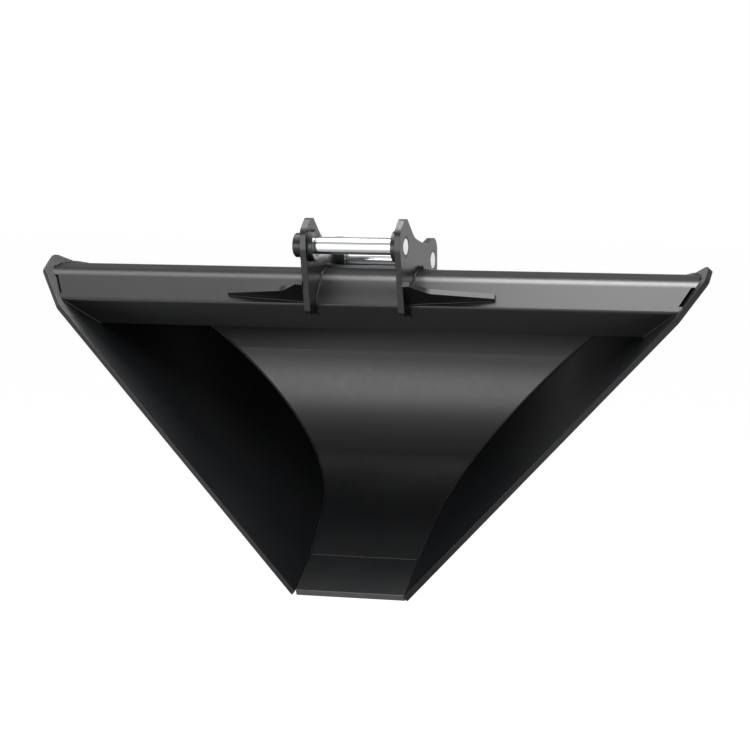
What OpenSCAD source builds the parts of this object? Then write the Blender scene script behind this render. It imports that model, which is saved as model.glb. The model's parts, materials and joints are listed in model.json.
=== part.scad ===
// V-shaped ditching bucket for a 5 to 7 tonne excavator, welded from plate.
// It is drawn as it hangs from the arm: the arm pin's axis is the X axis, the mouth faces -Y and Z is up.
// The shell's own sizes are taken with the blade lying flat, and hung() turns that drawing into place.

/* [Shell] */
// Width of the floor inside, at the cutting edge
floor_w = 292; // [240:4:340]
// Lean of each side plate from the vertical, degrees
side_lean = 49.2; // [44:0.2:52]
// Width of the floor plate behind the blade, before it starts to roll
floor_l = 171; // [150:1:200]
// Rise of the floor plate behind the blade, degrees
floor_rise = 4; // [2:0.5:6]
// Inner radius of the rolled back
back_r = 420; // [410:1:430]
// Sweep of the rolled back, degrees
back_sweep = 64.5; // [60:0.5:68]
// Inner radius of the rolled top
top_r = 275; // [265:1:285]
// Thickness of the rolled wrapper
wrapper_t = 8; // [6:0.5:10]
// Thickness of the side plates
side_t = 15; // [10:0.5:20]
// How far the side plates stand out behind the wrapper
side_proud = 6; // [3:0.5:10]
// Distance of the crest behind the arm pin
crest_back = 117.3; // [112:0.1:122]
// Distance of the crest below the arm pin
crest_down = 64.7; // [60:0.1:70]

/* [Cutting edge] */
// Width of the blade from front to back
blade_l = 145; // [120:1:170]
// Thickness of the blade
blade_t = 25; // [20:0.5:30]
// Height of the ground bevel under the blade's front
bevel_h = 8; // [4:0.5:12]
// Length of the ground bevel under the blade's front
bevel_l = 14; // [8:0.5:24]

/* [Mouth beam] */
// Thickness of the folded beam plate
beam_t = 10; // [8:0.5:12]
// Fold line of the beam in front of the crest
fold_reach = 36; // [30:1:44]
// Fold line of the beam below the crest
fold_drop = 11; // [8:0.5:14]
// Length of the beam's front face, fold to lip
face_l = 94; // [86:1:104]
// Slope of the beam's front face, degrees
face_slope = 53; // [48:1:58]
// Length of the return below the lip
return_l = 85; // [76:1:94]
// Slope of the return, degrees
return_slope = 55; // [50:1:60]
// Outer bend radius of the fold
fold_r = 22; // [18:1:24]
// Outer bend radius of the lip
lip_r = 14; // [12:1:18]
// Thickness of the plate that closes the beam behind
closer_t = 8; // [6:0.5:10]
// Slope of that plate, degrees
closer_slope = 40; // [36:1:44]

/* [Hitch] */
// Diameter of both hitch pins
pin_d = 45; // [40:1:48]
// Distance of the link pin behind the arm pin
link_back = 245; // [240:1:252]
// Distance between the centres of the two ear plates
ear_pitch = 252; // [240:1:300]
// Thickness of each ear plate
ear_t = 16; // [14:1:22]
// Diameter of the bosses inside the ears
boss_d = 80; // [72:1:84]
// Width of the two bosses round the arm pin
front_boss_w = 14; // [8:1:20]
// Width of the two bosses round the link pin
rear_boss_w = 20; // [8:1:24]
// Outside diameter of the hardened bushes
bush_d = 55; // [53:0.5:60]
// Radial running clearance of a pin in its bushes
pin_gap = 0.05; // [0.03:0.01:0.09]
// Thickness of the pad under the ears
pad_t = 8; // [6:0.5:10]
// How far the pad reaches past each ear
pad_reach = 12; // [8:1:40]
// How far the pad reaches behind the ears
pad_over = 8; // [4:1:16]

/* [Pin heads] */
// Diameter of the pin heads
head_d = 63; // [58:1:70]
// Width of the pin heads
head_w = 19; // [12:1:26]
// Clearance between the link pin's head and the pad
head_gap = 3.5; // [1:0.25:6]
// Thickness of the keeper flags behind the heads
flag_t = 8; // [6:0.5:10]
// Distance of the keeper bolt from the pin's axis
keeper_reach = 58; // [52:1:64]
// Keeper bolt diameter
keeper_d = 12; // [10:1:14]

/* [Side plate noses] */
// How far the front edge runs below the lip, along the beam's face
nose_down = 26; // [16:1:34]
// How far the nose stands out of the beam's face
nose_out = 18; // [12:1:24]
// Length of the nose's straight top edge
nose_l = 68; // [60:1:76]
// How far each tip reaches past the blade
tip_reach = 8; // [4:1:12]

/* [Wing gussets] */
// Thickness of the wing gussets
wing_t = 15; // [10:1:18]
// Length of a wing gusset along the beam
wing_l = 226; // [180:2:260]
// Reach of a wing gusset out of the beam at the ear
wing_root = 81; // [74:1:88]
// Reach of a wing gusset at its tip
wing_tip = 10; // [8:1:16]

/* [Hidden] */

// Smoothness of the round parts
$fn = 96;
// Overrun of every cut
over = 2;
// Steps of an arc inside an outline
arc_steps = 10;
// Root gap between a side plate and what is welded to it
root_gap = 0.05;
// How much tighter than the beam's bends the feet on it are cut
foot_ease = 0.25;
// How far the flats of a bent plate run into its bends
lap = 0.02;
lap_dir = 0.01;
// How far inside the faces beside it the rolled back or a bend stands, so that they meet in an edge
roll_step = 0.01;

// Paint and metal colours
black_paint = [0.13, 0.13, 0.14];
worn_edge = [0.25, 0.25, 0.26];
chrome = [0.82, 0.83, 0.85];
steel = [0.55, 0.55, 0.56];

// Slope of the blade as the bucket hangs, degrees
hang_tilt = 30.5;

// A step of a given length in a given direction
function step(length, angle) = [length * cos(angle), length * sin(angle)];

function unit(v) = v / norm(v);
function left_of(v) = [-v[1], v[0]];

// An arc of points about a centre
function arc(centre, r, from, to, steps) =
    [for (i = [0 : steps]) centre + step(r, from + (to - from) * i / steps)];

// Fillet of radius r at corner b between a and c, as points
function fillet(a, b, c, r) =
    let (u = unit(a - b),
         v = unit(c - b),
         half = acos(u * v) / 2,
         centre = b + unit(u + v) * r / sin(half),
         start = b + u * r / tan(half) - centre,
         end = b + v * r / tan(half) - centre,
         from = atan2(start[1], start[0]),
         turn = atan2(end[1], end[0]) - from,
         short = turn > 180 ? turn - 360 : turn < -180 ? turn + 360 : turn)
    r == 0 ? [b] : arc(centre, r, from, from + short, arc_steps);

// Closed outline from corners written as [y, z, radius]
function rounded(corners) =
    let (n = len(corners))
    [for (i = [0 : n - 1])
        let (a = corners[(i + n - 1) % n], b = corners[i], c = corners[(i + 1) % n])
        each fillet([a[0], a[1]], [b[0], b[1]], [c[0], c[1]], b[2])];

// Shell section, worked down and back from the crest under the hitch
floor_dir = hang_tilt + floor_rise;
knee_dir = floor_dir + back_sweep - 90;
crest = [crest_back, -crest_down];
top_c = crest - [0, top_r + wrapper_t];
knee = top_c + step(top_r, knee_dir);
back_c = knee - step(back_r, knee_dir);
floor_end = back_c + step(back_r, floor_dir - 90);
crease = floor_end - step(floor_l, floor_dir);
edge = crease - step(blade_l, hang_tilt);
fold = crest - [fold_reach, fold_drop];
lip = fold - step(face_l, face_slope);
heel = lip + step(return_l, -return_slope);
top_dir = atan2(fold_drop, fold_reach);

// Ears and pins
ear_x = ear_pitch / 2;
ear_out = ear_x + ear_t / 2;
ear_in = ear_x - ear_t / 2;
over_pad = top_r + wrapper_t + pad_t + head_d / 2 + head_gap;
link_pin = [link_back, top_c[1] + sqrt(pow(over_pad, 2) - pow(link_back - top_c[0], 2))];
bore_d = pin_d + 2 * pin_gap;
bush_chamfer = 1.5;

// Side plates, cut square to their own faces
side_slope = tan(side_lean);
reach = 2 * (back_r + top_r);
slot_w = 7;
nose_foot_out = 3;
nose_foot_r = 30;
nose_shift = 11;
nose_r = 26;
nose_end_dir = 83;
proud_t = wrapper_t + side_proud;
side_arc_steps = 32;

// Half the width between the side plates at height z of the flat drawing
function half_w(z, margin = 0) = floor_w / 2 + z * side_slope - margin / cos(side_lean);

// Turns a point of the hanging frame into the plane of a side plate, [along the floor, up the slope]
function on_plate(p) =
    let (d = p - edge)
    [d[0] * cos(hang_tilt) + d[1] * sin(hang_tilt),
     (d[1] * cos(hang_tilt) - d[0] * sin(hang_tilt)) / cos(side_lean)];

// Ear outline, measured from the arm pin
eye_front = 49;
eye_low = 8;
eye_front_r = 60;
brow_h = 40;
brow_r = 28;
horn_h = 70;
horn_front = 10;
horn_front_r = 20;
horn_back = 14;
horn_back_r = 10;
slope_back = 78;
slope_h = 19;
slope_r = 90;

// Ear outline, measured from the link pin
valley_front = 65;
valley_h = 43;
valley_r = 90;
hump_front = 2;
hump_h = 58;
hump_front_r = 20;
tail_back = 40;
hump_back_r = 34;
tail_drop = 90;

// Hook of the ear round the lip
hook_out = 36;
hook_drop = 22;
hook_r = 9;
hook_l = 44;

// Pad, down past the tail of the ears
pad_end_dir = acos((link_back + tail_back + pad_over - top_c[0]) / (top_r + wrapper_t + pad_t));

// Pins, their heads, flags and keeper bolts
pin_chamfer = 2;
head_recess = 3;
groove_w = 3;
groove_depth = 1;
flag_gap = 0.3;
flag_in = -ear_out - flag_gap;
flag_out = flag_in - flag_t;
flag_end_r = 17;
keeper_gap = 0.1;
front_keeper_dir = 10;
rear_keeper_dir = 160;
keeper_head_af = 18;
keeper_head_h = 7.5;
keeper_flange_d = 26;
keeper_flange_t = 2.5;
head_chamfer = 3;

// Wing gussets on the face of the beam
wing_foot = 3;
wing_rise = 4;
wing_flat = 18;
wing_knee_l = 62;
wing_knee = 44;
wing_knee_r = 60;

// Draws a section, [y, z], through the width w about the middle
module across(w) {
    rotate([90, 0, 90])
        linear_extrude(w, center = true)
            children();
}

// Draws a section, [y, z], from x0 to x1
module from_to(x0, x1) {
    translate([x0, 0, 0])
        rotate([90, 0, 90])
            linear_extrude(x1 - x0)
                children();
}

// Places what is drawn with the blade lying flat, its front edge on the X axis
module hung() {
    translate(concat(0, edge))
        rotate([hang_tilt, 0, 0])
            children();
}

// The space between the inner faces of the two side plates, narrower by a margin at each side
module between_sides(margin = 0) {
    hung()
        translate([0, reach, 0])
            rotate([90, 0, 0])
                linear_extrude(2 * reach)
                    polygon([
                        [-half_w(-blade_t, margin), -blade_t],
                        [half_w(-blade_t, margin), -blade_t],
                        [half_w(reach, margin), reach],
                        [-half_w(reach, margin), reach]
                    ]);
}

// A straight plate in section, from a to b, its thickness on the left
module strip(a, b, t) {
    side = t * left_of(unit(b - a));
    polygon([a, b, b + side, a + side]);
}

// A wedge of the plane about a centre, between two directions less than 180 degrees apart
module wedge(centre, r, from, to) {
    polygon([
        centre,
        centre + step(2 * r, from),
        centre + step(2 * r, (from + to) / 2),
        centre + step(2 * r, to)
    ]);
}

// A rolled or bent plate in section, outer radius r
module bend(centre, r, t, from, to) {
    intersection() {
        translate(centre)
            difference() {
                circle(r);
                circle(r - t);
            }
        wedge(centre, r, from, to);
    }
}

// Rolled and flat parts of the wrapper
module wrapper_section() {
    strip(floor_end + step(lap, floor_dir), crease, wrapper_t);
    bend(back_c, back_r + wrapper_t - roll_step, wrapper_t, floor_dir - 90, knee_dir + lap_dir);
    bend(top_c, top_r + wrapper_t, wrapper_t, knee_dir, 90);
}

// Folded plate of the mouth beam
module beam_section() {
    fold_turn = face_slope - top_dir;
    fold_cut = fold_r * tan(fold_turn / 2);
    lip_turn = 180 - face_slope - return_slope;
    lip_cut = lip_r * tan(lip_turn / 2);
    face_top = fold - step(fold_cut, face_slope);
    face_foot = lip + step(lip_cut, face_slope);
    return_top = lip + step(lip_cut, -return_slope);
    fold_c = face_top + step(fold_r, face_slope - 90);
    lip_c = face_foot + step(lip_r, face_slope - 90);
    difference() {
        strip(crest, fold + step(fold_cut - lap, top_dir), beam_t);
        translate(crest - [0, top_r])
            square(2 * top_r);
    }
    bend(fold_c, fold_r - roll_step, beam_t, top_dir + 90, face_slope + 90);
    strip(face_top + step(lap, face_slope), face_foot - step(lap, face_slope), beam_t);
    bend(lip_c, lip_r - roll_step, beam_t, face_slope + 90, 270 - return_slope);
    strip(return_top - step(lap, -return_slope), heel, beam_t);
}

// Everything under the hitch, pad included, to cut the feet of what stands on it
module shell_fill() {
    into_pad = crest + step(2 * pad_t, top_dir);
    inside = top_c + step(top_r / 2, 45);
    intersection() {
        translate(top_c)
            circle(top_r + wrapper_t + pad_t);
        wedge(top_c, top_r + wrapper_t + pad_t, 0, 90);
    }
    polygon(rounded([
        concat(into_pad, 0),
        concat(fold, fold_r - foot_ease),
        concat(lip, lip_r - foot_ease),
        concat(heel, 0),
        concat(inside, 0)
    ]));
}

// Pad bent over the crest, under the ears
module pad_section() {
    bend(top_c, top_r + wrapper_t + pad_t, pad_t, pad_end_dir, 90);
}

// Rolled back and floor plate
module wrapper() {
    color(black_paint)
        intersection() {
            across(2 * reach)
                wrapper_section();
            between_sides();
        }
}

// Flat blade with a bevel ground under its front edge
module cutting_edge() {
    color(worn_edge)
        hung()
            across(floor_w)
                polygon([
                    [0, 0],
                    [blade_l, 0],
                    [blade_l, -blade_t],
                    [bevel_l, -blade_t],
                    [0, bevel_h - blade_t]
                ]);
}

// Outline of a side plate in its own plane
function side_outline() =
    let (tip = [-tip_reach, 0],
         foot = on_plate(lip + step(nose_foot_out, face_slope + 90) - step(nose_down, face_slope)),
         front = on_plate(fold + step(nose_out, face_slope + 90) - step(nose_shift, face_slope)),
         top = front + [nose_l, 0],
         end = on_plate(top_c + step(top_r + proud_t, nose_end_dir)))
    concat(
        [tip],
        fillet(tip, foot, front, nose_foot_r),
        fillet(foot, front, top, nose_r),
        fillet(front, top, end, nose_r),
        [for (p = arc(top_c, top_r + proud_t, nose_end_dir, knee_dir, side_arc_steps)) on_plate(p)],
        [for (p = arc(back_c, back_r + proud_t, knee_dir, floor_dir - 90, side_arc_steps)) on_plate(p)],
        [[blade_l, -proud_t / cos(side_lean)], [blade_l, 0]]
    );

// A side plate leaning outwards from the floor
module side_plate() {
    color(black_paint)
        hung()
            translate([floor_w / 2, 0, 0])
                rotate([0, side_lean, 0])
                    from_to(root_gap, root_gap + side_t)
                        polygon(side_outline());
}

module side_plate_right() {
    side_plate();
}

module side_plate_left() {
    mirror([1, 0, 0])
        side_plate();
}

// Folded front of the mouth beam, its face cut short of the side plates
module beam_front() {
    slot_top = fold - step(fold_r, face_slope);
    slot_foot = lip + step(lip_r, face_slope);
    color(black_paint)
        difference() {
            intersection() {
                across(2 * reach)
                    beam_section();
                between_sides();
            }
            difference() {
                across(2 * reach)
                    translate(step(beam_t, face_slope + 90))
                        strip(slot_top, slot_foot, 3 * beam_t);
                between_sides(slot_w);
            }
        }
}

// Plate that closes the beam behind, from its heel to the wrapper
module beam_closer() {
    heel_in = heel + step(beam_t, 90 - return_slope);
    butt_dir = 180 - return_slope;
    color(black_paint)
        intersection() {
            across(2 * reach)
                intersection() {
                    polygon([
                        heel_in,
                        heel_in + step(top_r, closer_slope),
                        heel_in + step(top_r, closer_slope) + step(closer_t, closer_slope + 90),
                        heel_in + step(closer_t / sin(butt_dir - closer_slope), butt_dir)
                    ]);
                    translate(top_c)
                        circle(top_r);
                }
            between_sides();
        }
}

// Outline of an ear before its foot is cut to the shell
function ear_outline() =
    rounded([
        [lip[0] - hook_out, lip[1] - hook_drop, hook_r],
        [-eye_front, -eye_low, eye_front_r],
        [-eye_front, brow_h, brow_r],
        [-horn_front, horn_h, horn_front_r],
        [horn_back, horn_h, horn_back_r],
        [slope_back, slope_h, slope_r],
        concat(link_pin + [-valley_front, valley_h], valley_r),
        concat(link_pin + [-hump_front, hump_h], hump_front_r),
        concat(link_pin + [tail_back, hump_h], hump_back_r),
        concat(link_pin + [tail_back, -tail_drop], 0),
        [crest[0], crest[1] - tail_drop, 0],
        concat(lip + step(hook_l, -return_slope) + step(beam_t, 90 - return_slope), 0)
    ]);

// Centre of the keeper bolt of each pin
function keeper_at(pin, dir) = pin + step(keeper_reach, dir);

// One ear of the hitch, with bores for the bushes
module ear_plate(keepers) {
    difference() {
        polygon(ear_outline());
        shell_fill();
        circle(d = bush_d);
        translate(link_pin)
            circle(d = bush_d);
        if (keepers) {
            translate(keeper_at([0, 0], front_keeper_dir))
                circle(d = keeper_d + 2 * keeper_gap);
            translate(keeper_at(link_pin, rear_keeper_dir))
                circle(d = keeper_d + 2 * keeper_gap);
        }
    }
}

module ear_right() {
    color(black_paint)
        from_to(ear_in, ear_out)
            ear_plate(false);
}

module ear_left() {
    color(black_paint)
        from_to(-ear_out, -ear_in)
            ear_plate(true);
}

// Pad between the shell and the tails of the ears
module hitch_pad() {
    color(black_paint)
        across(2 * (ear_out + pad_reach))
            pad_section();
}

// A welded boss on the inside of the right ear
module boss(pin, boss_w) {
    color(black_paint)
        from_to(ear_in - boss_w, ear_in)
            difference() {
                translate(pin)
                    circle(d = boss_d);
                translate(pin)
                    circle(d = bush_d);
                shell_fill();
            }
}

module boss_front_right() {
    boss([0, 0], front_boss_w);
}

module boss_front_left() {
    mirror([1, 0, 0])
        boss([0, 0], front_boss_w);
}

module boss_rear_right() {
    boss(link_pin, rear_boss_w);
}

module boss_rear_left() {
    mirror([1, 0, 0])
        boss(link_pin, rear_boss_w);
}

// A hardened bush through the right ear and its boss, chamfered at both ends
module bush(pin, boss_w) {
    long = boss_w + ear_t;
    color(steel)
        translate(concat(ear_in - boss_w, pin))
            rotate([0, 90, 0])
                rotate_extrude()
                    polygon([
                        [bore_d / 2, 0],
                        [bush_d / 2 - bush_chamfer, 0],
                        [bush_d / 2, bush_chamfer],
                        [bush_d / 2, long - bush_chamfer],
                        [bush_d / 2 - bush_chamfer, long],
                        [bore_d / 2, long]
                    ]);
}

module bush_front_right() {
    bush([0, 0], front_boss_w);
}

module bush_front_left() {
    mirror([1, 0, 0])
        bush([0, 0], front_boss_w);
}

module bush_rear_right() {
    bush(link_pin, rear_boss_w);
}

module bush_rear_left() {
    mirror([1, 0, 0])
        bush(link_pin, rear_boss_w);
}

// A gusset standing square on the beam's face, against the right ear
module wing_gusset() {
    color(black_paint)
        intersection() {
            translate(concat(ear_out, lip + step(wing_foot, face_slope)))
                rotate([90 + face_slope, 0, 0])
                    rotate([0, wing_rise, 0])
                        translate([0, 0, -wing_t])
                            linear_extrude(wing_t)
                                polygon(rounded([
                                    [-wing_t, 0, 0],
                                    [wing_l, 0, 0],
                                    [wing_l, wing_tip, 0],
                                    [wing_knee_l, wing_knee, wing_knee_r],
                                    [wing_flat, wing_root, 0],
                                    [-wing_t, wing_root, 0]
                                ]));
            translate([ear_out, -reach / 2, -reach / 2])
                cube(reach);
        }
}

module wing_gusset_right() {
    wing_gusset();
}

module wing_gusset_left() {
    mirror([1, 0, 0])
        wing_gusset();
}

// Half profile of a pin, [radius, x], with a relief groove at each end of its ground bearing length
function pin_profile(bearing) =
    let (r = pin_d / 2,
         start = flag_out - head_w + head_recess,
         groove = [bearing - groove_w / 2, bearing + groove_w / 2])
    [
        [0, start],
        [r, start],
        [r, -groove[1]],
        [r - groove_depth, -groove[1]],
        [r - groove_depth, -groove[0]],
        [r, -groove[0]],
        [r, groove[0]],
        [r - groove_depth, groove[0]],
        [r - groove_depth, groove[1]],
        [r, groove[1]],
        [r, ear_out - pin_chamfer],
        [r - pin_chamfer, ear_out],
        [0, ear_out]
    ];

// A hitch pin, put in from the left
module pin(at, boss_w) {
    color(chrome)
        translate(concat(0, at))
            rotate([0, 90, 0])
                rotate_extrude()
                    polygon(pin_profile(ear_in - boss_w));
}

// The head welded round the left end of a pin
module pin_head(at) {
    head = head_d / 2;
    color(black_paint)
        translate(concat(flag_out - head_w, at))
            rotate([0, 90, 0])
                rotate_extrude()
                    polygon([
                        [pin_d / 2, 0],
                        [head - head_chamfer, 0],
                        [head, head_chamfer],
                        [head, head_w],
                        [pin_d / 2, head_w]
                    ]);
}

// The flag that keeps a pin from turning, welded behind its head
module flag(at, dir) {
    bolt = keeper_at(at, dir);
    side = step(flag_end_r, dir + 90);
    color(black_paint)
        difference() {
            union() {
                from_to(flag_out, flag_in)
                    translate(at)
                        circle(d = head_d);
                from_to(flag_out, flag_in)
                    translate(bolt)
                        circle(flag_end_r);
                from_to(flag_out, flag_in)
                    polygon([at - side, at + side, bolt + side, bolt - side]);
            }
            from_to(flag_out - over, flag_in + over)
                translate(at)
                    circle(d = pin_d);
            from_to(flag_out - over, flag_in + over)
                translate(bolt)
                    circle(d = keeper_d);
        }
}

// Flanged keeper bolt through a flag into the left ear
module keeper_bolt(at, dir) {
    color(steel)
        translate(concat(0, keeper_at(at, dir))) {
            translate([flag_out - keeper_flange_t - keeper_head_h, 0, 0])
                rotate([0, 90, 0])
                    cylinder(h = keeper_head_h, d = keeper_head_af / cos(30), $fn = 6);
            translate([flag_out - keeper_flange_t, 0, 0])
                rotate([0, 90, 0])
                    cylinder(h = keeper_flange_t, d = keeper_flange_d);
            translate([flag_out, 0, 0])
                rotate([0, 90, 0])
                    cylinder(h = ear_t + flag_t, d = keeper_d);
        }
}

module front_pin() {
    pin([0, 0], front_boss_w);
}

module front_pin_head() {
    pin_head([0, 0]);
}

module front_pin_flag() {
    flag([0, 0], front_keeper_dir);
}

module front_keeper_bolt() {
    keeper_bolt([0, 0], front_keeper_dir);
}

module rear_pin() {
    pin(link_pin, rear_boss_w);
}

module rear_pin_head() {
    pin_head(link_pin);
}

module rear_pin_flag() {
    flag(link_pin, rear_keeper_dir);
}

module rear_keeper_bolt() {
    keeper_bolt(link_pin, rear_keeper_dir);
}

wrapper();
cutting_edge();
side_plate_left();
side_plate_right();
beam_front();
beam_closer();
ear_left();
ear_right();
hitch_pad();
boss_front_left();
boss_front_right();
boss_rear_left();
boss_rear_right();
bush_front_left();
bush_front_right();
bush_rear_left();
bush_rear_right();
wing_gusset_left();
wing_gusset_right();
front_pin();
front_pin_head();
front_pin_flag();
front_keeper_bolt();
rear_pin();
rear_pin_head();
rear_pin_flag();
rear_keeper_bolt();
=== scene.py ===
# %% [markdown]
# A V-shaped ditching bucket hangs from its two hitch pins. The plates, pins and bolts come from the CAD
# model as they are. This lesson gives them paint and metal, and adds the weld beads that hold the plates.

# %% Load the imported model
import json
import math

import bpy
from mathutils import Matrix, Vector


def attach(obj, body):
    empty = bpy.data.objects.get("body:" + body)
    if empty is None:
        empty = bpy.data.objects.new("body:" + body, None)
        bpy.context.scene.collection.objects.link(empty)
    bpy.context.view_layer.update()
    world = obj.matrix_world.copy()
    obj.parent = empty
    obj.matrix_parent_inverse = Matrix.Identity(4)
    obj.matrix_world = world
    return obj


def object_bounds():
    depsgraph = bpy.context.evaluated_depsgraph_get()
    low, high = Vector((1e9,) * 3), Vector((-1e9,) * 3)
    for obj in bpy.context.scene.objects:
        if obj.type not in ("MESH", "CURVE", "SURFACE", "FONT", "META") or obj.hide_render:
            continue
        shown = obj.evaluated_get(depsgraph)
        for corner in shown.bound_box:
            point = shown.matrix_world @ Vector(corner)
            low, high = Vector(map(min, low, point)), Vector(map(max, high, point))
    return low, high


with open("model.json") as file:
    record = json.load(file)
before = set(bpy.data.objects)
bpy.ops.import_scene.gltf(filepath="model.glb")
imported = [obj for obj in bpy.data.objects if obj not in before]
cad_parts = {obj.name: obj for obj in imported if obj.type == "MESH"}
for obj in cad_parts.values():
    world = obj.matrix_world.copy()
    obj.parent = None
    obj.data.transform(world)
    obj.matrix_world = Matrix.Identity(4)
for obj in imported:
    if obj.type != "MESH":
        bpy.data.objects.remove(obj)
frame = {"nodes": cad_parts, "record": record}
nodes = frame["nodes"]
cad_low, cad_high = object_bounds()
print(len(nodes), "plates, pins and bolts,", [round(b - a, 3) for a, b in zip(cad_low, cad_high)], "m")

# %% [markdown]
# The photograph was taken from the front, 17.5 degrees to the right and 5.7 degrees above, with a long
# lens. A long lens keeps the left and right side plates nearly the same size, so it is worth matching
# before any material is judged. The direction is turned into a rotation with to_track_quat, and the
# Standard view transform shows a colour as it is written.

# %% Camera
CAMERA_LENS = 136.8
SENSOR_WIDTH = 36
CAMERA_PLACE = (2.2329, -6.9169, 0.3925)
CAMERA_LOOK = (-0.29923, 0.94903, -0.09903)


def add_object(name, data):
    """A new object in the scene, at the origin."""
    made = bpy.data.objects.new(name, data)
    bpy.context.scene.collection.objects.link(made)
    return made


def aim(thing, place, direction):
    """Places a camera or a lamp and turns it: both look along their own -Z."""
    thing.location = place
    thing.rotation_euler = Vector(direction).to_track_quat("-Z", "Y").to_euler()


camera_data = bpy.data.cameras.new("camera")
camera_data.lens = CAMERA_LENS
camera_data.sensor_width = SENSOR_WIDTH
camera = add_object("camera", camera_data)
aim(camera, CAMERA_PLACE, CAMERA_LOOK)
bpy.context.scene.camera = camera
bpy.context.scene.view_settings.view_transform = "Standard"
print("camera", [round(v, 3) for v in camera.location], "lens", camera_data.lens)

# %% [markdown]
# Seen from the side, the shell is one section: a blade, a floor, two arcs rolled on different radii, and a
# folded beam that a closing plate shuts behind. The grey front of the blade, the soft bend of the beam and
# the weld beads all follow it, so it is worked out here from the same sizes as the CAD model.

# %% Sizes of the shell, in millimetres and degrees
HANG_TILT = 30.5  # tilt of the blade as the bucket hangs
BLADE_L = 145  # blade, from front to back
FLOOR_W = 292  # floor, inside width at the cutting edge
FLOOR_L = 171  # floor behind the blade, before it starts to roll
FLOOR_RISE = 4  # rise of that floor over the blade
SIDE_LEAN = 49.2  # lean of each side plate
BACK_R = 420  # rolled back, inner radius
BACK_SWEEP = 64.5  # rolled back, how far it turns
TOP_R = 275  # rolled top, inner radius
WRAPPER_T = 8  # thickness of the plate that is rolled
CREST_BACK = 117.3  # crest, behind the arm pin
CREST_DOWN = 64.7  # crest, below the arm pin
BEAM_T = 10  # thickness of the beam's plate
FOLD_REACH = 36  # fold line of the beam, in front of the crest
FOLD_DROP = 11  # fold line of the beam, below the crest
FOLD_R = 22  # fold, outer bend radius
FACE_L = 94  # front face, from fold to lip
FACE_SLOPE = 53
LIP_R = 14  # lip, outer bend radius
RETURN_L = 85  # return, from lip to heel
RETURN_SLOPE = 55
CLOSER_SLOPE = 40  # slope of the plate that closes the beam behind
print("blade hangs tilted by", HANG_TILT, "degrees")

# %% [markdown]
# A point of the section is [back, up] in millimetres from the arm pin's axis. The chain starts at the crest
# under the hitch and goes down the back to the blade, then from the crest forward round the beam. A corner
# that is bent in a press starts to turn a little before it, at the tangent points of its bend.

# %% Section of the shell
METRE = 1000
ARC_STEPS = 24


def step(length, angle):
    """A step of a given length in a given direction."""
    return Vector((length * math.cos(math.radians(angle)), length * math.sin(math.radians(angle))))


def arc(centre, radius, start, end, count=ARC_STEPS):
    """Points of an arc about a centre, from one direction to another."""
    return [centre + step(radius, start + (end - start) * i / count) for i in range(count + 1)]


floor_dir = HANG_TILT + FLOOR_RISE
knee_dir = floor_dir + BACK_SWEEP - 90
top_dir = math.degrees(math.atan2(FOLD_DROP, FOLD_REACH))
crest = Vector((CREST_BACK, -CREST_DOWN))
top_c = crest - Vector((0, TOP_R + WRAPPER_T))
knee = top_c + step(TOP_R, knee_dir)
back_c = knee - step(BACK_R, knee_dir)
floor_end = back_c + step(BACK_R, floor_dir - 90)
crease = floor_end - step(FLOOR_L, floor_dir)
blade_front = crease - step(BLADE_L, HANG_TILT)
fold = crest - Vector((FOLD_REACH, FOLD_DROP))
lip = fold - step(FACE_L, FACE_SLOPE)
heel = lip + step(RETURN_L, -RETURN_SLOPE)
heel_in = heel + step(BEAM_T, 90 - RETURN_SLOPE)

fold_turn = FOLD_R * math.tan(math.radians((FACE_SLOPE - top_dir) / 2))
fold_start = fold + step(fold_turn, top_dir)
fold_c = fold - step(fold_turn, FACE_SLOPE) + step(FOLD_R, FACE_SLOPE - 90)
lip_turn = LIP_R * math.tan(math.radians((180 - FACE_SLOPE - RETURN_SLOPE) / 2))
lip_c = lip + step(lip_turn, FACE_SLOPE) + step(LIP_R, FACE_SLOPE - 90)


def half_width(p):
    """Half the width between the side plates at a point of the section."""
    above_floor = (p - blade_front).dot(step(1, HANG_TILT + 90))
    return FLOOR_W / 2 + above_floor * math.tan(math.radians(SIDE_LEAN))


for label, point in (("crease", crease), ("blade front", blade_front), ("crest", crest), ("lip", lip)):
    print(label, [round(v, 1) for v in point])

# %% [markdown]
# Shader maths is easier to read as Python than as a row of Math nodes. The class Socket wraps one output,
# so that `0.3 + 0.1 * noise` builds the nodes by itself. Every other node comes from add_node, which takes
# its type, its settings and its inputs, by number or by name.

# %% Shader maths
def add_node(tree, kind, settings=None, slots=None, output=0, **named):
    """Adds a node, sets it, fills its inputs and gives one of its outputs, if it has any."""
    made = tree.nodes.new(kind)
    for name, value in (settings or {}).items():
        setattr(made, name, value)
    inputs = dict(slots or {})
    inputs.update((name.replace("_", " "), value) for name, value in named.items())
    for key, value in inputs.items():
        if isinstance(value, Socket):
            tree.links.new(value.output, made.inputs[key])
        else:
            made.inputs[key].default_value = value
    return Socket(tree, made.outputs[output]) if made.outputs else None


def math_node(tree, operation, *values):
    return add_node(tree, "ShaderNodeMath", {"operation": operation}, dict(enumerate(values)))


class Socket:
    """One output of a node. An operator on it adds a Math node."""

    def __init__(self, tree, output):
        self.tree = tree
        self.output = output

    def also(self, name):
        """Another output of the same node."""
        return Socket(self.tree, self.output.node.outputs[name])

    def math(self, operation, *others):
        return math_node(self.tree, operation, self, *others)

    def __add__(self, other):
        return self.math("ADD", other)

    def __radd__(self, other):
        return math_node(self.tree, "ADD", other, self)

    def __sub__(self, other):
        return self.math("SUBTRACT", other)

    def __rsub__(self, other):
        return math_node(self.tree, "SUBTRACT", other, self)

    def __mul__(self, other):
        return self.math("MULTIPLY", other)

    def __rmul__(self, other):
        return math_node(self.tree, "MULTIPLY", other, self)

    def clamped(self):
        return self.math("MAXIMUM", 0).math("MINIMUM", 1)


print("shader maths ready")

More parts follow.
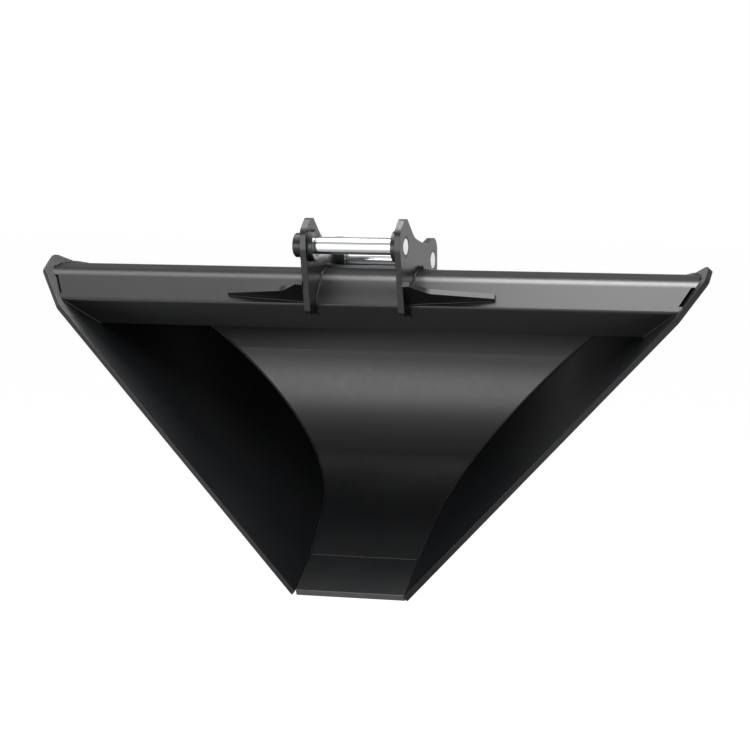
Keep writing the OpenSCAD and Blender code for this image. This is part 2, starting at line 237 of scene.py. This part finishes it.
# %% [markdown]
# A finish is one material, and most of its nodes come back in every finish: the place on the object, a
# noise, a mix of two colours, the shader at the end. So a small class keeps them as methods. Colours and
# vectors go through Mix and Vector Math nodes, because a Math node would turn a colour grey.

# %% Materials
# data type of a Mix node, then the numbers of its two inputs and of its output
MIX_COLOURS = ("RGBA", 6, 7, 2)
MIX_VECTORS = ("VECTOR", 4, 5, 1)


class Material:
    """A new material, with a method for each kind of node that the finishes use."""

    def __init__(self, name):
        self.material = bpy.data.materials.new(name)
        self.material.use_nodes = True
        self.tree = self.material.node_tree
        self.tree.nodes.clear()

    def node(self, kind, settings=None, slots=None, output=0, **named):
        return add_node(self.tree, kind, settings, slots, output, **named)

    def place(self):
        """The place on the object, in metres."""
        return self.node("ShaderNodeTexCoord", output="Object")

    def normal(self, kind):
        """Normal is smooth over a smooth mesh, and True Normal is the flat face's own."""
        return self.node("ShaderNodeNewGeometry", output=kind)

    def noise(self, scale, detail=2.0, roughness=0.5, vector=None):
        return self.node("ShaderNodeTexNoise", Vector=vector or self.place(), Scale=scale,
                         Detail=detail, Roughness=roughness)

    def mix(self, factor, low, high, kind=MIX_COLOURS):
        """A Mix node has sockets of its own for each kind of value, so they are found by number."""
        data_type, low_slot, high_slot, output = kind
        slots = {0: factor, low_slot: low, high_slot: high}
        return self.node("ShaderNodeMix", {"data_type": data_type}, slots, output)

    def vector_number(self, operation, first, second):
        """A number from two vectors, such as their dot product."""
        return self.node("ShaderNodeVectorMath", {"operation": operation}, {0: first, 1: second}, "Value")

    def shine(self, **values):
        shader = self.node("ShaderNodeBsdfPrincipled", **values)
        self.node("ShaderNodeOutputMaterial", Surface=shader)
        return self.material


print("material helpers ready")

# %% [markdown]
# Every cut edge of real plate is a little round, and the paint on it catches the light as a thin line. The
# CAD solids have sharp edges, and their meshes stay as they are, so a Bevel node rounds the shading
# instead. Where its normal leaves the flat one, an edge is near: that gives a mask for rubbed paint.

# %% Rounded edges in the shading
EDGE_RADIUS = 0.0016
BEVEL_SAMPLES = 6
EDGE_GAIN = 6.0


def rounded_edges(m, radius=EDGE_RADIUS):
    return m.node("ShaderNodeBevel", {"samples": BEVEL_SAMPLES}, Radius=radius)


def edge_mask(m):
    """About 0 on a flat face and 1 on an edge."""
    likeness = m.vector_number("DOT_PRODUCT", rounded_edges(m), m.normal("True Normal"))
    return (EDGE_GAIN * (1.0 - likeness)).clamped()


print("edges are rounded over", EDGE_RADIUS, "m")

# %% [markdown]
# The bucket is sprayed with black enamel, half way between satin and gloss. Its colour is nearly even,
# so what makes it look like paint is the surface: a fine orange peel, broad soft changes in gloss where
# the coat is thinner, and edges that are a little rubbed. The scale of each noise is about one over the
# size of its patches in metres.

# %% Black enamel
BLACK = (0.0042, 0.0046, 0.0052, 1)
THIN_BLACK = (0.0075, 0.0081, 0.0090, 1)
RUBBED_GREY = (0.07, 0.07, 0.07, 1)
RUBBED_SHARE = 0.35
CLOUD_SCALE = 5.0
GRAIN_SCALE = 60.0
PEEL_SCALE = 420.0
PEEL_STRENGTH = 0.06
PEEL_DEPTH = 0.0006
ENAMEL_ROUGHNESS = 0.22
GRAIN_ROUGHNESS = 0.10
CLOUD_ROUGHNESS = 0.05
ENAMEL_IOR = 1.47


def enamel_surface(m, rubbed, normal=None):
    """The colour, the roughness and the bumps of the black enamel."""
    cloud = m.noise(CLOUD_SCALE, detail=3.0)
    grain = m.noise(GRAIN_SCALE, detail=4.0, roughness=0.6)
    peel = m.noise(PEEL_SCALE)
    colour = m.mix(cloud, BLACK, THIN_BLACK)
    colour = m.mix(RUBBED_SHARE * rubbed * grain, colour, RUBBED_GREY)
    roughness = ENAMEL_ROUGHNESS + GRAIN_ROUGHNESS * grain + CLOUD_ROUGHNESS * cloud
    bumpy = m.node("ShaderNodeBump", Strength=PEEL_STRENGTH, Distance=PEEL_DEPTH, Height=peel,
                   Normal=normal or rounded_edges(m))
    return colour, roughness, bumpy


def enamel_shine(m, colour, roughness, normal):
    return m.shine(Base_Color=colour, Roughness=roughness, Normal=normal, IOR=ENAMEL_IOR)


def plate_enamel():
    m = Material("plate_enamel")
    return enamel_shine(m, *enamel_surface(m, edge_mask(m)))


enamel = plate_enamel()
print("made", enamel.name)

# %% [markdown]
# A weld bead has no flat face, so the edge mask would grey all of it. The beads keep their own smooth
# normal, only specks of spatter on them are rubbed, and the enamel lies a little duller over them.

# %% Enamel on the beads
SPATTER_SCALE = 300.0
SPATTER_FROM = 0.66
SPATTER_SHARE = 0.3
BEAD_ROUGHNESS = 0.08


def weld_enamel():
    m = Material("weld_enamel")
    spatter = m.noise(SPATTER_SCALE, detail=3.0).math("GREATER_THAN", SPATTER_FROM)
    colour, roughness, bumpy = enamel_surface(m, SPATTER_SHARE * spatter, m.normal("Normal"))
    return enamel_shine(m, colour, roughness + BEAD_ROUGHNESS, bumpy)


bead_enamel = weld_enamel()
print("made", bead_enamel.name)

# %% [markdown]
# The blade's top is black like the plates, but its front face is coloured a lighter grey, mottled by a
# noise. The mask for it is the distance behind that face, measured along the blade, which hangs tilted. It
# is soft over two millimetres, and a noise frays it.

# %% Blade paint
FRONT_DEPTH = 0.002
FRAY_SCALE = 180.0
FRAY_SHARE = 0.5
FRONT_GREY_SCALE = 45.0
# the front face's lighter grey, a darker and a paler tone mixed by a noise
FRONT_GREY_DARK = (0.08, 0.08, 0.08, 1)
FRONT_GREY_PALE = (0.13, 0.13, 0.13, 1)
FRONT_ROUGHNESS = 0.12


def front_face_mask(m):
    """1 on the blade's front face and 0 behind it."""
    along = step(1, HANG_TILT)
    start = (blade_front / METRE).dot(along)
    behind = m.vector_number("DOT_PRODUCT", m.place(), (0.0, *along)) - start
    return (1.0 - behind * (1 / FRONT_DEPTH) + FRAY_SHARE * m.noise(FRAY_SCALE)).clamped()


def blade_enamel():
    m = Material("blade_enamel")
    front = front_face_mask(m)
    colour, roughness, bumpy = enamel_surface(m, edge_mask(m))
    front_grey = m.mix(m.noise(FRONT_GREY_SCALE, detail=4.0), FRONT_GREY_DARK, FRONT_GREY_PALE)
    return enamel_shine(m, m.mix(front, colour, front_grey), roughness + FRONT_ROUGHNESS * front, bumpy)


blade_paint = blade_enamel()
print("made", blade_paint.name)

# %% [markdown]
# The beam is one plate, folded in a press. Beside the bend such a plate springs back a little and keeps a
# soft curve, and that curve is what catches the long bright line on top of the beam. The CAD bend is the
# tool's radius, so the soft part is added to the shading: on the outer skin the normal turns evenly from
# the top plate's direction to the face's, over thirty millimetres below the start of the bend. A face
# counts as outer skin where its own direction is near that normal, and all others keep their round edges.

# %% Soft bend of the beam
SOFT_BEND = 0.030
SKIN_LIKENESS = 0.7
SKIN_GAIN = 8.0


def soft_bend_normal(m):
    down_face = step(1, FACE_SLOPE)
    y = m.node("ShaderNodeSeparateXYZ", output="Y", Vector=m.place())
    height = down_face[0] * y + down_face[1] * y.also("Z")
    below = (fold_start / METRE).dot(down_face) - height
    bend = math.radians(FACE_SLOPE - top_dir)
    turn = math.radians(top_dir) + bend * (below * (1 / SOFT_BEND)).clamped()
    eased = m.node("ShaderNodeCombineXYZ", X=0.0, Y=-1.0 * turn.math("SINE"), Z=turn.math("COSINE"))
    likeness = m.vector_number("DOT_PRODUCT", m.normal("True Normal"), eased)
    outer_skin = (SKIN_GAIN * (likeness - SKIN_LIKENESS)).clamped()
    return m.mix(outer_skin, rounded_edges(m), eased, MIX_VECTORS)


def beam_enamel():
    m = Material("beam_enamel")
    return enamel_shine(m, *enamel_surface(m, edge_mask(m), soft_bend_normal(m)))


beam_paint = beam_enamel()
print("made", beam_paint.name, "with a bend that turns over", SOFT_BEND, "m")

# %% [markdown]
# The pins are hard chromed and ground, so they mirror the room, with fine rings left by the grinding.
# The bushes are hardened steel, black with oil, and the bolts are zinc plated, both with a softer shine.
# The rings are a noise that changes fast along the pins' axis, X, and slowly round them.

# %% Chrome and steel
RING_STRETCH = (900.0, 12.0, 12.0)
RING_DEPTH = 0.0002
RING_ROUGHNESS = 0.08
STAIN_SCALE = 24.0
STAIN_SHARE = 0.3
STAIN_SHADE = 0.8
METAL_EDGE = 0.0008


def ground_metal(name, colour, roughness, scratch):
    m = Material(name)
    stretched = m.node("ShaderNodeMapping", Vector=m.place(), Scale=RING_STRETCH)
    rings = m.noise(scale=1.0, detail=3.0, roughness=0.6, vector=stretched)
    stain = m.noise(STAIN_SCALE, detail=3.0)
    bumpy = m.node("ShaderNodeBump", Strength=scratch, Distance=RING_DEPTH, Height=rings,
                   Normal=rounded_edges(m, METAL_EDGE))
    stained = (*[STAIN_SHADE * channel for channel in colour[:3]], 1)
    tone = m.mix(STAIN_SHARE * stain, colour, stained)
    return m.shine(Base_Color=tone, Metallic=1.0, Roughness=roughness + RING_ROUGHNESS * rings, Normal=bumpy)


chrome = ground_metal("pin_chrome", (0.86, 0.87, 0.89, 1), roughness=0.06, scratch=0.05)
bush_steel = ground_metal("bush_steel", (0.10, 0.10, 0.102, 1), roughness=0.34, scratch=0.12)
bolt_zinc = ground_metal("bolt_zinc", (0.55, 0.55, 0.54, 1), roughness=0.3, scratch=0.08)
print("made", chrome.name, bush_steel.name, bolt_zinc.name)

# %% [markdown]
# The record says for each node which kind of finish it has, so a loop hands them out. The beam is painted
# like the other plates, and only its own enamel knows about the soft bend.

# %% Give every CAD node its finish
finish_of_slot = {
    "paint": enamel,
    "blade": blade_paint,
    "chrome": chrome,
    "bush": bush_steel,
    "bolt": bolt_zinc,
}
finish_of_node = {"beam_front": beam_paint}
for entry in frame["record"]["subparts"]:
    materials = nodes[entry["node"]].data.materials
    materials.clear()
    materials.append(finish_of_node.get(entry["node"], finish_of_slot[entry["material_slot"]]))
print("finished", len(nodes), "CAD nodes")

# %% [markdown]
# Every joint between two plates is closed by a weld bead, a row of small overlapping crescents. A bead
# follows the line where the plates meet. Such a line, a seam, is kept as a list of points in metres. Most
# seams come in pairs, one beside each side plate or ear, so a helper lays the same line on both halves.

# %% Lines of the seams
CROSS_GAP = 1

seams = {"shell_welds": [], "hitch_welds": []}


def seam(group, points):
    seams[group].append([Vector(p) / METRE for p in points])


def mirrored_seam(group, points):
    seam(group, points)
    seam(group, [(-p[0], p[1], p[2]) for p in points])


def along_sides(points, inward):
    """A line in the corner of the side plates, from points of the section."""
    mirrored_seam("shell_welds", [(half_width(p) - inward, p[0], p[1]) for p in points])


def across(group, p, half):
    """A straight line from left to right through a point of the section."""
    seam(group, [(-half, p[0], p[1]), (half, p[0], p[1])])


def across_shell(p):
    """The same, as wide as the shell is there."""
    across("shell_welds", p, half_width(p) - CROSS_GAP)


print("seams are kept for", " and ".join(seams))

# %% [markdown]
# The middle of a bead stands a little off the faces that it joins, so that most of it shows. At the crest
# and the crease, where two plates lie edge to edge, it is sunk under their top instead. Beads run inside
# and outside the wrapper, under the return, along the closing plate and over the top of the beam, and
# straight ones go from side to side where one plate of the shell joins the next.

# %% Seams of the shell
RAISE = 1.2  # off a face, inside the shell and on the hitch
WIDE_RAISE = 1.5  # off a face, behind the shell and on the closing plate
CORNER_RAISE = 2  # off both faces, where the closing plate meets the rolled top
SUNK = 2  # under the top of two plates that lie edge to edge
SIDE_IN = 1.6  # in from a side plate
OUTER_SIDE_IN = 2  # in from a side plate, behind the shell
CREASE_START = 6  # behind the crease, start of the outer seam
CREST_SHORT = 2  # degrees before the crest, end of the outer seam
CLOSER_SHORT = 1  # degrees before the closing plate, end of the inner seam
BLADE_SIDE_OUT = 3.1  # out from the floor's side
BLADE_SIDE_DOWN = 8.4  # below the blade's top
BLADE_SEAM_START = 14  # behind the blade's front
BLADE_SEAM_SHORT = 4  # before the crease


def meets_top(start, direction):
    """Where a line from inside the rolled top meets its inner face."""
    offset = start - top_c
    middle = offset.dot(direction)
    return start + direction * (math.sqrt(middle ** 2 - offset.length_squared + TOP_R ** 2) - middle)


closer_end = meets_top(heel_in, step(1, CLOSER_SLOPE))
closer_dir = math.degrees(math.atan2(closer_end[1] - top_c[1], closer_end[0] - top_c[0]))

inside_wrapper = ([crease + step(RAISE, floor_dir + 90)]
                  + arc(back_c, BACK_R - RAISE, floor_dir - 90, knee_dir)
                  + arc(top_c, TOP_R - RAISE, knee_dir, closer_dir - CLOSER_SHORT))
outer_t = WRAPPER_T + WIDE_RAISE
outside_wrapper = ([crease + step(CREASE_START, floor_dir) + step(outer_t, floor_dir - 90)]
                   + arc(back_c, BACK_R + outer_t, floor_dir - 90, knee_dir)
                   + arc(top_c, TOP_R + outer_t, knee_dir, 90 - CREST_SHORT))
under_return = step(RAISE, -90 - RETURN_SLOPE)
under_closer = step(WIDE_RAISE, CLOSER_SLOPE - 90)
over_top = step(RAISE, top_dir + 90)

along_sides(inside_wrapper, SIDE_IN)
along_sides(outside_wrapper, OUTER_SIDE_IN)
along_sides([lip + step(lip_turn, -RETURN_SLOPE) + under_return, heel + under_return], SIDE_IN)
along_sides([heel_in + under_closer, closer_end + under_closer], SIDE_IN)
along_sides([crest + over_top, fold_start + over_top], SIDE_IN)

across_shell(heel_in + under_closer + step(WIDE_RAISE, -RETURN_SLOPE))
across_shell(closer_end + step(CORNER_RAISE, CLOSER_SLOPE - 90) + step(CORNER_RAISE, closer_dir + 180))
across_shell(crest - Vector((0, SUNK)))
across_shell(crease - Vector((0, SUNK)))
across_shell(crease + step(WIDE_RAISE, floor_dir) + step(outer_t, floor_dir - 90))

under_blade = [blade_front + step(y, HANG_TILT) + step(-BLADE_SIDE_DOWN, HANG_TILT + 90)
               for y in (BLADE_SEAM_START, BLADE_L - BLADE_SEAM_SHORT)]
mirrored_seam("shell_welds", [(FLOOR_W / 2 + BLADE_SIDE_OUT, *p) for p in under_blade])
print(len(seams["shell_welds"]), "seams on the shell")

# %% [markdown]
# The hitch stands on the crest: two ears that carry the arm pin and the link pin in bosses, a pad that
# spreads their load over the rolled top, and a wing gusset beside each ear on the beam's face. Their sizes
# are the CAD model's too. The link pin lies where its head just clears the pad.

# %% Sizes of the hitch, in millimetres and degrees
EAR_PITCH = 252  # between the middles of the two ears
EAR_T = 16
BOSS_D = 80
HEAD_D = 63  # diameter of a pin's head
HEAD_GAP = 3.5  # between the link pin's head and the pad
LINK_BACK = 245  # link pin, behind the arm pin
TAIL_BACK = 40  # ear, behind the link pin
PAD_T = 8
PAD_REACH = 12  # pad, past each ear
PAD_OVER = 8  # pad, behind the ears
HOOK_L = 44  # ear, along the return under the lip
WING_T = 15
WING_L = 226  # gusset, along the beam
WING_ROOT = 81  # gusset, out of the beam at the ear
WING_FOOT = 3  # gusset, above the lip
WING_RISE = 4  # gusset, rise towards its tip

ear_out = (EAR_PITCH + EAR_T) / 2
ear_in = (EAR_PITCH - EAR_T) / 2
pad_half = ear_out + PAD_REACH
pad_r = TOP_R + WRAPPER_T + PAD_T
pad_end_dir = math.degrees(math.acos((LINK_BACK - top_c[0] + TAIL_BACK + PAD_OVER) / pad_r))
arm_pin = Vector((0, 0))
link_rise = math.sqrt((pad_r + HEAD_D / 2 + HEAD_GAP) ** 2 - (LINK_BACK - top_c[0]) ** 2)
link_pin = Vector((LINK_BACK, top_c[1] + link_rise))
print("link pin", [round(v, 1) for v in link_pin])

# %% [markdown]
# The ears are the loaded part of the bucket, so each is welded all round its foot, on both faces: down the
# rolled pad, over the fold, down the face and round the lip. The bosses and the pad have their own seams.
# The ring round the arm pin's boss is whole, and the one round the link pin's stays open over the pad.

# %% Seams of the ears, the bosses and the pad
FOOT_SHORT = 2  # before the ends of the ear's foot, in degrees on the pad and millimetres on the return
FOLD_STEPS = 8
LIP_STEPS = 10
BOSS_RAISE = 1
RING_STEPS = 48
WHOLE_RING = (0, 360)
OPEN_RING = (-50, 230)
PAD_TOE = 0.3  # degrees past the pad's end

foot = (arc(top_c, pad_r + RAISE, pad_end_dir + FOOT_SHORT, 90)
        + [crest + Vector((-RAISE, RAISE)), fold_start + over_top]
        + arc(fold_c, FOLD_R + RAISE, top_dir + 90, FACE_SLOPE + 90, FOLD_STEPS)
        + arc(lip_c, LIP_R + RAISE, FACE_SLOPE + 90, 270 - RETURN_SLOPE, LIP_STEPS)
        + [lip + step(HOOK_L - FOOT_SHORT, -RETURN_SLOPE) + under_return])
for x in (ear_out + RAISE, ear_in - RAISE):
    mirrored_seam("hitch_welds", [(x, *p) for p in foot])
for centre, (start, end) in ((arm_pin, WHOLE_RING), (link_pin, OPEN_RING)):
    ring = arc(centre, BOSS_D / 2 + BOSS_RAISE, start, end, RING_STEPS)
    mirrored_seam("hitch_welds", [(ear_in - BOSS_RAISE, *p) for p in ring])
on_wrapper = TOP_R + WRAPPER_T + RAISE
mirrored_seam("hitch_welds", [(pad_half + RAISE, *p) for p in arc(top_c, on_wrapper, pad_end_dir, 90)])
across("hitch_welds", top_c + step(on_wrapper, pad_end_dir - PAD_TOE), pad_half)
print(len(seams["hitch_welds"]), "seams on the ears, the bosses and the pad")

# %% [markdown]
# A wing gusset stands square on the beam's face and rises a little towards its tip, so its seams are
# written in its own directions and then turned into the bucket's. Each gusset has beads on both faces,
# one along the beam and one along the ear.

# %% Seams of the wing gussets
WING_SEAM_START = 2
WING_SEAM_SHORT = 6
ROOT_SEAM_SHORT = 2
WING_STEP = 12


def on_wing(u, v, w):
    """A point of the right gusset: along the beam, out of its face, through its thickness."""
    rise, turn = math.radians(WING_RISE), math.radians(90 + FACE_SLOPE)
    x, z = u * math.cos(rise) + w * math.sin(rise), w * math.cos(rise) - u * math.sin(rise)
    base = lip + step(WING_FOOT, FACE_SLOPE)
    return (ear_out + x, base[0] + v * math.cos(turn) - z * math.sin(turn),
            base[1] + v * math.sin(turn) + z * math.cos(turn))


for w in (RAISE, -WING_T - RAISE):
    beam_seam = [on_wing(u, RAISE, w) for u in range(WING_SEAM_START, WING_L - WING_SEAM_SHORT, WING_STEP)]
    ear_seam = [on_wing(RAISE, v, w) for v in range(0, WING_ROOT - ROOT_SEAM_SHORT, WING_STEP)]
    mirrored_seam("hitch_welds", beam_seam)
    mirrored_seam("hitch_welds", ear_seam)
print(len(seams["hitch_welds"]), "seams on the hitch")

# %% [markdown]
# A bead repeats one small crescent along its seam, which is work for Geometry Nodes. The seam is a chain of
# edges. The tree turns it into a curve, cuts it into four steps a ripple and sweeps a circle along it. Each
# ripple starts at the full radius and draws in towards its end, as a puddle does when it freezes. A little
# noise keeps two ripples from being alike. The result is made real, and becomes a plain mesh in the next
# step.

# %% Geometry Nodes: weld bead
RIPPLE_STEPS = 4
RING_SIDES = 7
WOBBLE_SCALE = 90.0

bead_tree = bpy.data.node_groups.new("weld_bead", "GeometryNodeTree")


def bead_socket(label, kind, in_out="INPUT"):
    return bead_tree.interface.new_socket(label, in_out=in_out, socket_type="NodeSocket" + kind).identifier


def bead_node(kind, settings=None, **values):
    return add_node(bead_tree, kind, settings, **values)


bead_socket("Geometry", "Geometry")
bead_inputs = {label: bead_socket(label, "Float") for label in
               ("Bead radius", "Ripple length", "Ripple depth", "Unevenness", "Seed")}
bead_inputs["Finish"] = bead_socket("Finish", "Material")
bead_socket("Geometry", "Geometry", "OUTPUT")

given = bead_node("NodeGroupInput", output="Geometry")
asked = {label: given.also(label) for label in bead_inputs}
ripple_length = asked["Ripple length"]
line = bead_node("GeometryNodeMeshToCurve", Mesh=given)
line = bead_node("GeometryNodeResampleCurve", {"mode": "LENGTH"}, Curve=line,
                 Length=(1 / RIPPLE_STEPS) * ripple_length)
travelled = bead_node("GeometryNodeSplineParameter", output="Length")
phase = travelled.math("DIVIDE", ripple_length).math("FRACT")
wobble = bead_node("ShaderNodeTexNoise", {"noise_dimensions": "4D"}, W=asked["Seed"],
                   Scale=WOBBLE_SCALE, Detail=1.0)
drawn_in = 1.0 - asked["Ripple depth"] * phase * phase
uneven = 1.0 + asked["Unevenness"] * (wobble - 0.5)
ring = bead_node("GeometryNodeCurvePrimitiveCircle", Resolution=RING_SIDES, Radius=1.0)
bead = bead_node("GeometryNodeCurveToMesh", Curve=line, Profile_Curve=ring,
                 Scale=asked["Bead radius"] * drawn_in * uneven, Fill_Caps=True)
bead = bead_node("GeometryNodeRealizeInstances", Geometry=bead)
bead = bead_node("GeometryNodeSetMaterial", Geometry=bead, Material=asked["Finish"])
bead_node("NodeGroupOutput", Geometry=bead)
print("weld bead tree:", len(bead_tree.nodes), "nodes")

# %% [markdown]
# The paint fills the ripples of a real bead, so the sweep is told to draw in only a fifth. Each group of
# seams becomes one piece that rides on the bucket. The guide, which carries the modifier, is removed once
# its result has been copied into a plain mesh.

# %% Lay the beads
RIPPLE_DEPTH = 0.2
UNEVENNESS = 0.15


def lay_beads(name, lines, finish, radius, ripple, seed):
    points, edges = [], []
    for line_points in lines:
        first = len(points)
        points += line_points
        edges += [(i, i + 1) for i in range(first, len(points) - 1)]
    mesh = bpy.data.meshes.new(name)
    mesh.from_pydata(points, edges, [])
    guide = add_object(name + "_guide", mesh)
    sweep = guide.modifiers.new("bead", "NODES")
    sweep.node_group = bead_tree
    for label, value in (("Bead radius", radius), ("Ripple length", ripple), ("Ripple depth", RIPPLE_DEPTH),
                         ("Unevenness", UNEVENNESS), ("Seed", seed), ("Finish", finish)):
        sweep[bead_inputs[label]] = value
    depsgraph = bpy.context.evaluated_depsgraph_get()
    made = bpy.data.meshes.new_from_object(guide.evaluated_get(depsgraph))
    bpy.data.objects.remove(guide)
    made.shade_smooth()
    piece = add_object(name, made)
    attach(piece, "bucket")
    print(name, len(lines), "seams,", len(made.polygons), "faces")


lay_beads("shell_welds", seams["shell_welds"], bead_enamel, radius=0.0022, ripple=0.0044, seed=1.0)
lay_beads("hitch_welds", seams["hitch_welds"], bead_enamel, radius=0.0019, ripple=0.0040, seed=2.0)

# %% [markdown]
# The photograph has a white room, and black paint shows mostly what it mirrors. The camera sees plain
# white, and so do mirrors near the horizon. Higher up the room is darker, most of all behind, which keeps
# the beam's top plate dark and gives the pins their grey band. Rays that only carry light get half of the
# white, so nothing is washed out.

# %% World
WHITE = (1, 1, 1, 1)
ROOM_LIGHT = 0.5
CEILING_GAIN = 3.5
CEILING_START = 0.9
CEILING_SHADE = 0.62
BACK_SHADE = 0.12


def looked_at(tree):
    """1 where the camera looks, and 1 where a mirror or glass looks."""
    camera_ray = add_node(tree, "ShaderNodeLightPath", output="Is Camera Ray")
    through = camera_ray.also("Is Transmission Ray")
    return camera_ray, camera_ray.also("Is Glossy Ray").math("MAXIMUM", through)


world = bpy.data.worlds.new("white_room")
bpy.context.scene.world = world
world.use_nodes = True
sky = world.node_tree
sky.nodes.clear()
seen, mirrored = looked_at(sky)
direction = add_node(sky, "ShaderNodeTexCoord", output="Generated")
backwards = add_node(sky, "ShaderNodeSeparateXYZ", output="Y", Vector=direction)
high_up = (CEILING_GAIN * backwards.also("Z") - CEILING_START).clamped()
shade = high_up * (CEILING_SHADE + BACK_SHADE * backwards)
light = (ROOM_LIGHT + (1 - ROOM_LIGHT) * mirrored) * (1.0 - shade)
room = add_node(sky, "ShaderNodeBackground", Color=WHITE, Strength=seen + (1.0 - seen) * light)
add_node(sky, "ShaderNodeOutputWorld", Surface=room)
print("made", world.name)

# %% [markdown]
# The floor is pale and lies well below the hanging bucket. Where the camera sees it, it also glows,
# enough to be white in the open and still keep a faint shadow. Mirrors see it nearly white from two
# metres out, and see the plain shaded floor below the bucket.

# %% Floor
FLOOR_DROP = 0.7
FLOOR_HALF = 30
FLOOR_GREY = (0.3, 0.3, 0.3, 1)
FLOOR_ROUGHNESS = 0.9
FLOOR_IOR = 1.2
SEEN_GLOW = 0.9
MIRRORED_GLOW = 0.75
GLOW_FROM = 1.2
GLOW_FULL = 2.0
NO_GLOW = (0, 0, 0, 1)

floor_level = cad_low[2] - FLOOR_DROP
floor_corners = [(FLOOR_HALF * x, FLOOR_HALF * y, floor_level)
                 for x, y in ((-1, -1), (1, -1), (1, 1), (-1, 1))]
floor_mesh = bpy.data.meshes.new("floor")
floor_mesh.from_pydata(floor_corners, [], [(0, 1, 2, 3)])
floor = add_object("floor", floor_mesh)

pale = Material("pale_floor")
seen, mirrored = looked_at(pale.tree)
from_middle = pale.vector_number("DISTANCE", pale.place(), (0, 0, floor_level))
far_out = ((from_middle - GLOW_FROM) * (1 / (GLOW_FULL - GLOW_FROM))).clamped()
glow = pale.mix(SEEN_GLOW * seen + MIRRORED_GLOW * mirrored * far_out, NO_GLOW, WHITE)
floor_mesh.materials.append(pale.shine(Base_Color=FLOOR_GREY, Roughness=FLOOR_ROUGHNESS, IOR=FLOOR_IOR,
                                       Emission_Color=glow, Emission_Strength=1.0))
print("floor", round(floor_level, 3), "m")

# %% [markdown]
# The beam's front face brightens from left to right, and its rolled fold shows a bright line. Both mirror
# what hangs above: strong soft lamps on the right and weak ones on the left, and those straight overhead
# are the brighter ones, for the fold. The rolled back of the shell mirrors what stands in front of the
# bucket, so one more soft lamp there gives it its broad highlight.

# %% Lamps
LAMP_HEIGHT = 2.6
RIGHT_X = 0.5
LEFT_X = -1.7
FRONT_Y = -1.25
OVERHEAD_Y = 0.3
LOW_FRONT = Vector((-1.45, -4.6, -0.4))
ROLLED_BACK = Vector((0, 0.35, -0.42))


def softbox(name, place, direction, size, power):
    data = bpy.data.lights.new(name, "AREA")
    data.shape = "RECTANGLE"
    data.size, data.size_y = size
    data.energy = power
    aim(add_object(name, data), place, direction)


def hanging_softbox(name, x, y, size, power):
    """A lamp over the bucket that shines straight down."""
    softbox(name, (x, y, LAMP_HEIGHT), (0, 0, -1), size, power)


hanging_softbox("front_right_softbox", RIGHT_X, FRONT_Y, size=(2.2, 1.7), power=72)
hanging_softbox("front_left_softbox", LEFT_X, FRONT_Y, size=(2.0, 1.7), power=15)
hanging_softbox("overhead_right_softbox", RIGHT_X, OVERHEAD_Y, size=(2.2, 1.3), power=145)
hanging_softbox("overhead_left_softbox", LEFT_X, OVERHEAD_Y, size=(2.0, 1.3), power=36)
softbox("low_front_softbox", LOW_FRONT, ROLLED_BACK - LOW_FRONT, size=(3.0, 2.1), power=76)
print(len(bpy.data.lights), "soft lamps")
